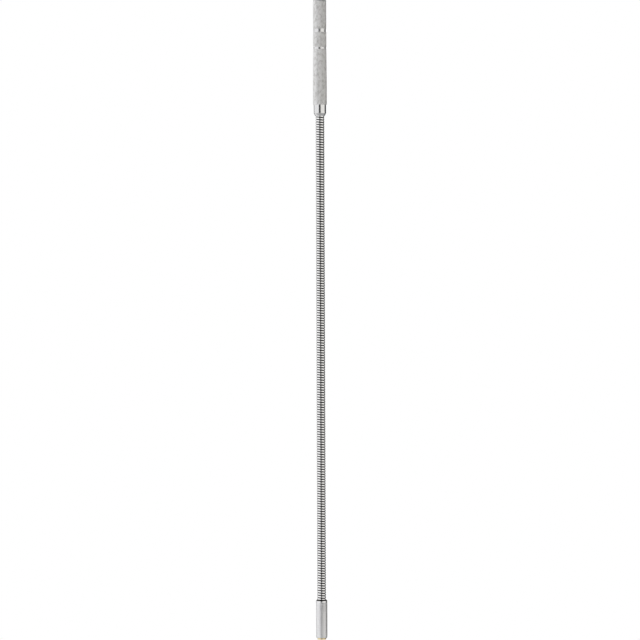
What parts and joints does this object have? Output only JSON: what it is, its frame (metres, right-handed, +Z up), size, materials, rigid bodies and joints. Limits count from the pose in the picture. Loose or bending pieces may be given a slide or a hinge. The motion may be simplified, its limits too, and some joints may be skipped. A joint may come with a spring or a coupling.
{
  "type": "magnetic pickup tool",
  "caption": "Slim pickup tool: knurled steel bar handle, long flexible coiled-wire neck that holds a bend, and a magnet in a steel sleeve with a brass rim at the tip.",
  "frame": {"origin": "centre of the magnet's face, at the tool's lower tip", "axes": "+Z runs up the straight neck to the handle's end; X and Y are the axes of the neck's hinges, alternating"},
  "size_m": [0.012, 0.012, 0.555],
  "materials": {
    "handle_chrome": "bright nickel-chrome plate over knurled steel",
    "neck_steel": "bright plated wedge-section wire",
    "core_steel": "plain drawn steel",
    "head_steel": "satin, fine turned",
    "spacer_brass": "turned, slightly dull",
    "magnet_nickel": "nickel-plated magnet, ground face"
  },
  "bodies": {
    "handle": {"handle_bar": "handle_chrome", "neck_outer_coil_01": "neck_steel", "neck_inner_coil_01": "core_steel"},
    "neck_length_01": {"neck_outer_coil_02": "neck_steel", "neck_inner_coil_02": "core_steel"},
    "neck_length_02": {"neck_outer_coil_03": "neck_steel", "neck_inner_coil_03": "core_steel"},
    "neck_length_03": {"neck_outer_coil_04": "neck_steel", "neck_inner_coil_04": "core_steel"},
    "neck_length_04": {"neck_outer_coil_05": "neck_steel", "neck_inner_coil_05": "core_steel"},
    "neck_length_05": {"neck_outer_coil_06": "neck_steel", "neck_inner_coil_06": "core_steel"},
    "neck_length_06": {"neck_outer_coil_07": "neck_steel", "neck_inner_coil_07": "core_steel"},
    "neck_length_07": {"neck_outer_coil_08": "neck_steel", "neck_inner_coil_08": "core_steel"},
    "neck_length_08": {"neck_outer_coil_09": "neck_steel", "neck_inner_coil_09": "core_steel"},
    "neck_length_09": {"neck_outer_coil_10": "neck_steel", "neck_inner_coil_10": "core_steel"},
    "neck_length_10": {"neck_outer_coil_11": "neck_steel", "neck_inner_coil_11": "core_steel"},
    "neck_length_11": {"neck_outer_coil_12": "neck_steel", "neck_inner_coil_12": "core_steel"},
    "neck_length_12": {"neck_outer_coil_13": "neck_steel", "neck_inner_coil_13": "core_steel"},
    "neck_length_13": {"neck_outer_coil_14": "neck_steel", "neck_inner_coil_14": "core_steel"},
    "neck_length_14": {"neck_outer_coil_15": "neck_steel", "neck_inner_coil_15": "core_steel"},
    "neck_length_15": {"neck_outer_coil_16": "neck_steel", "neck_inner_coil_16": "core_steel"},
    "neck_length_16": {"neck_outer_coil_17": "neck_steel", "neck_inner_coil_17": "core_steel"},
    "neck_length_17": {"neck_outer_coil_18": "neck_steel", "neck_inner_coil_18": "core_steel"},
    "neck_length_18": {"neck_outer_coil_19": "neck_steel", "neck_inner_coil_19": "core_steel"},
    "neck_length_19": {"neck_outer_coil_20": "neck_steel", "neck_inner_coil_20": "core_steel"},
    "head": {"neck_outer_coil_21": "neck_steel", "neck_inner_coil_21": "core_steel", "head_sleeve": "head_steel", "magnet_spacer": "spacer_brass", "magnet": "magnet_nickel", "keeper_plate": "core_steel"}
  },
  "joints": [
    {"name": "bend_01", "type": "hinge", "parent": "handle", "child": "neck_length_01", "pos_m": [0, 0, 0.44875], "axis": [1, 0, 0], "range_deg": [-30, 30]},
    {"name": "bend_02", "type": "hinge", "parent": "neck_length_01", "child": "neck_length_02", "pos_m": [0, 0, 0.42725], "axis": [0, 1, 0], "range_deg": [-30, 30]},
    {"name": "bend_03", "type": "hinge", "parent": "neck_length_02", "child": "neck_length_03", "pos_m": [0, 0, 0.40575], "axis": [1, 0, 0], "range_deg": [-30, 30]},
    {"name": "bend_04", "type": "hinge", "parent": "neck_length_03", "child": "neck_length_04", "pos_m": [0, 0, 0.38425], "axis": [0, 1, 0], "range_deg": [-30, 30]},
    {"name": "bend_05", "type": "hinge", "parent": "neck_length_04", "child": "neck_length_05", "pos_m": [0, 0, 0.36275], "axis": [1, 0, 0], "range_deg": [-30, 30]},
    {"name": "bend_06", "type": "hinge", "parent": "neck_length_05", "child": "neck_length_06", "pos_m": [0, 0, 0.34125], "axis": [0, 1, 0], "range_deg": [-30, 30]},
    {"name": "bend_07", "type": "hinge", "parent": "neck_length_06", "child": "neck_length_07", "pos_m": [0, 0, 0.31975], "axis": [1, 0, 0], "range_deg": [-30, 30]},
    {"name": "bend_08", "type": "hinge", "parent": "neck_length_07", "child": "neck_length_08", "pos_m": [0, 0, 0.29825], "axis": [0, 1, 0], "range_deg": [-30, 30]},
    {"name": "bend_09", "type": "hinge", "parent": "neck_length_08", "child": "neck_length_09", "pos_m": [0, 0, 0.27675], "axis": [1, 0, 0], "range_deg": [-30, 30]},
    {"name": "bend_10", "type": "hinge", "parent": "neck_length_09", "child": "neck_length_10", "pos_m": [0, 0, 0.25525], "axis": [0, 1, 0], "range_deg": [-30, 30]},
    {"name": "bend_11", "type": "hinge", "parent": "neck_length_10", "child": "neck_length_11", "pos_m": [0, 0, 0.23375], "axis": [-1, 0, 0], "range_deg": [-30, 30]},
    {"name": "bend_12", "type": "hinge", "parent": "neck_length_11", "child": "neck_length_12", "pos_m": [0, 0, 0.21225], "axis": [0, -1, 0], "range_deg": [-30, 30]},
    {"name": "bend_13", "type": "hinge", "parent": "neck_length_12", "child": "neck_length_13", "pos_m": [0, 0, 0.19075], "axis": [-1, 0, 0], "range_deg": [-30, 30]},
    {"name": "bend_14", "type": "hinge", "parent": "neck_length_13", "child": "neck_length_14", "pos_m": [0, 0, 0.16925], "axis": [0, -1, 0], "range_deg": [-30, 30]},
    {"name": "bend_15", "type": "hinge", "parent": "neck_length_14", "child": "neck_length_15", "pos_m": [0, 0, 0.14775], "axis": [-1, 0, 0], "range_deg": [-30, 30]},
    {"name": "bend_16", "type": "hinge", "parent": "neck_length_15", "child": "neck_length_16", "pos_m": [0, 0, 0.12625], "axis": [0, -1, 0], "range_deg": [-30, 30]},
    {"name": "bend_17", "type": "hinge", "parent": "neck_length_16", "child": "neck_length_17", "pos_m": [0, 0, 0.10475], "axis": [-1, 0, 0], "range_deg": [-30, 30]},
    {"name": "bend_18", "type": "hinge", "parent": "neck_length_17", "child": "neck_length_18", "pos_m": [0, 0, 0.08325], "axis": [0, -1, 0], "range_deg": [-30, 30]},
    {"name": "bend_19", "type": "hinge", "parent": "neck_length_18", "child": "neck_length_19", "pos_m": [0, 0, 0.06175], "axis": [-1, 0, 0], "range_deg": [-30, 30]},
    {"name": "bend_20", "type": "hinge", "parent": "neck_length_19", "child": "head", "pos_m": [0, 0, 0.04025], "axis": [0, -1, 0], "range_deg": [-30, 30]}
  ]
}
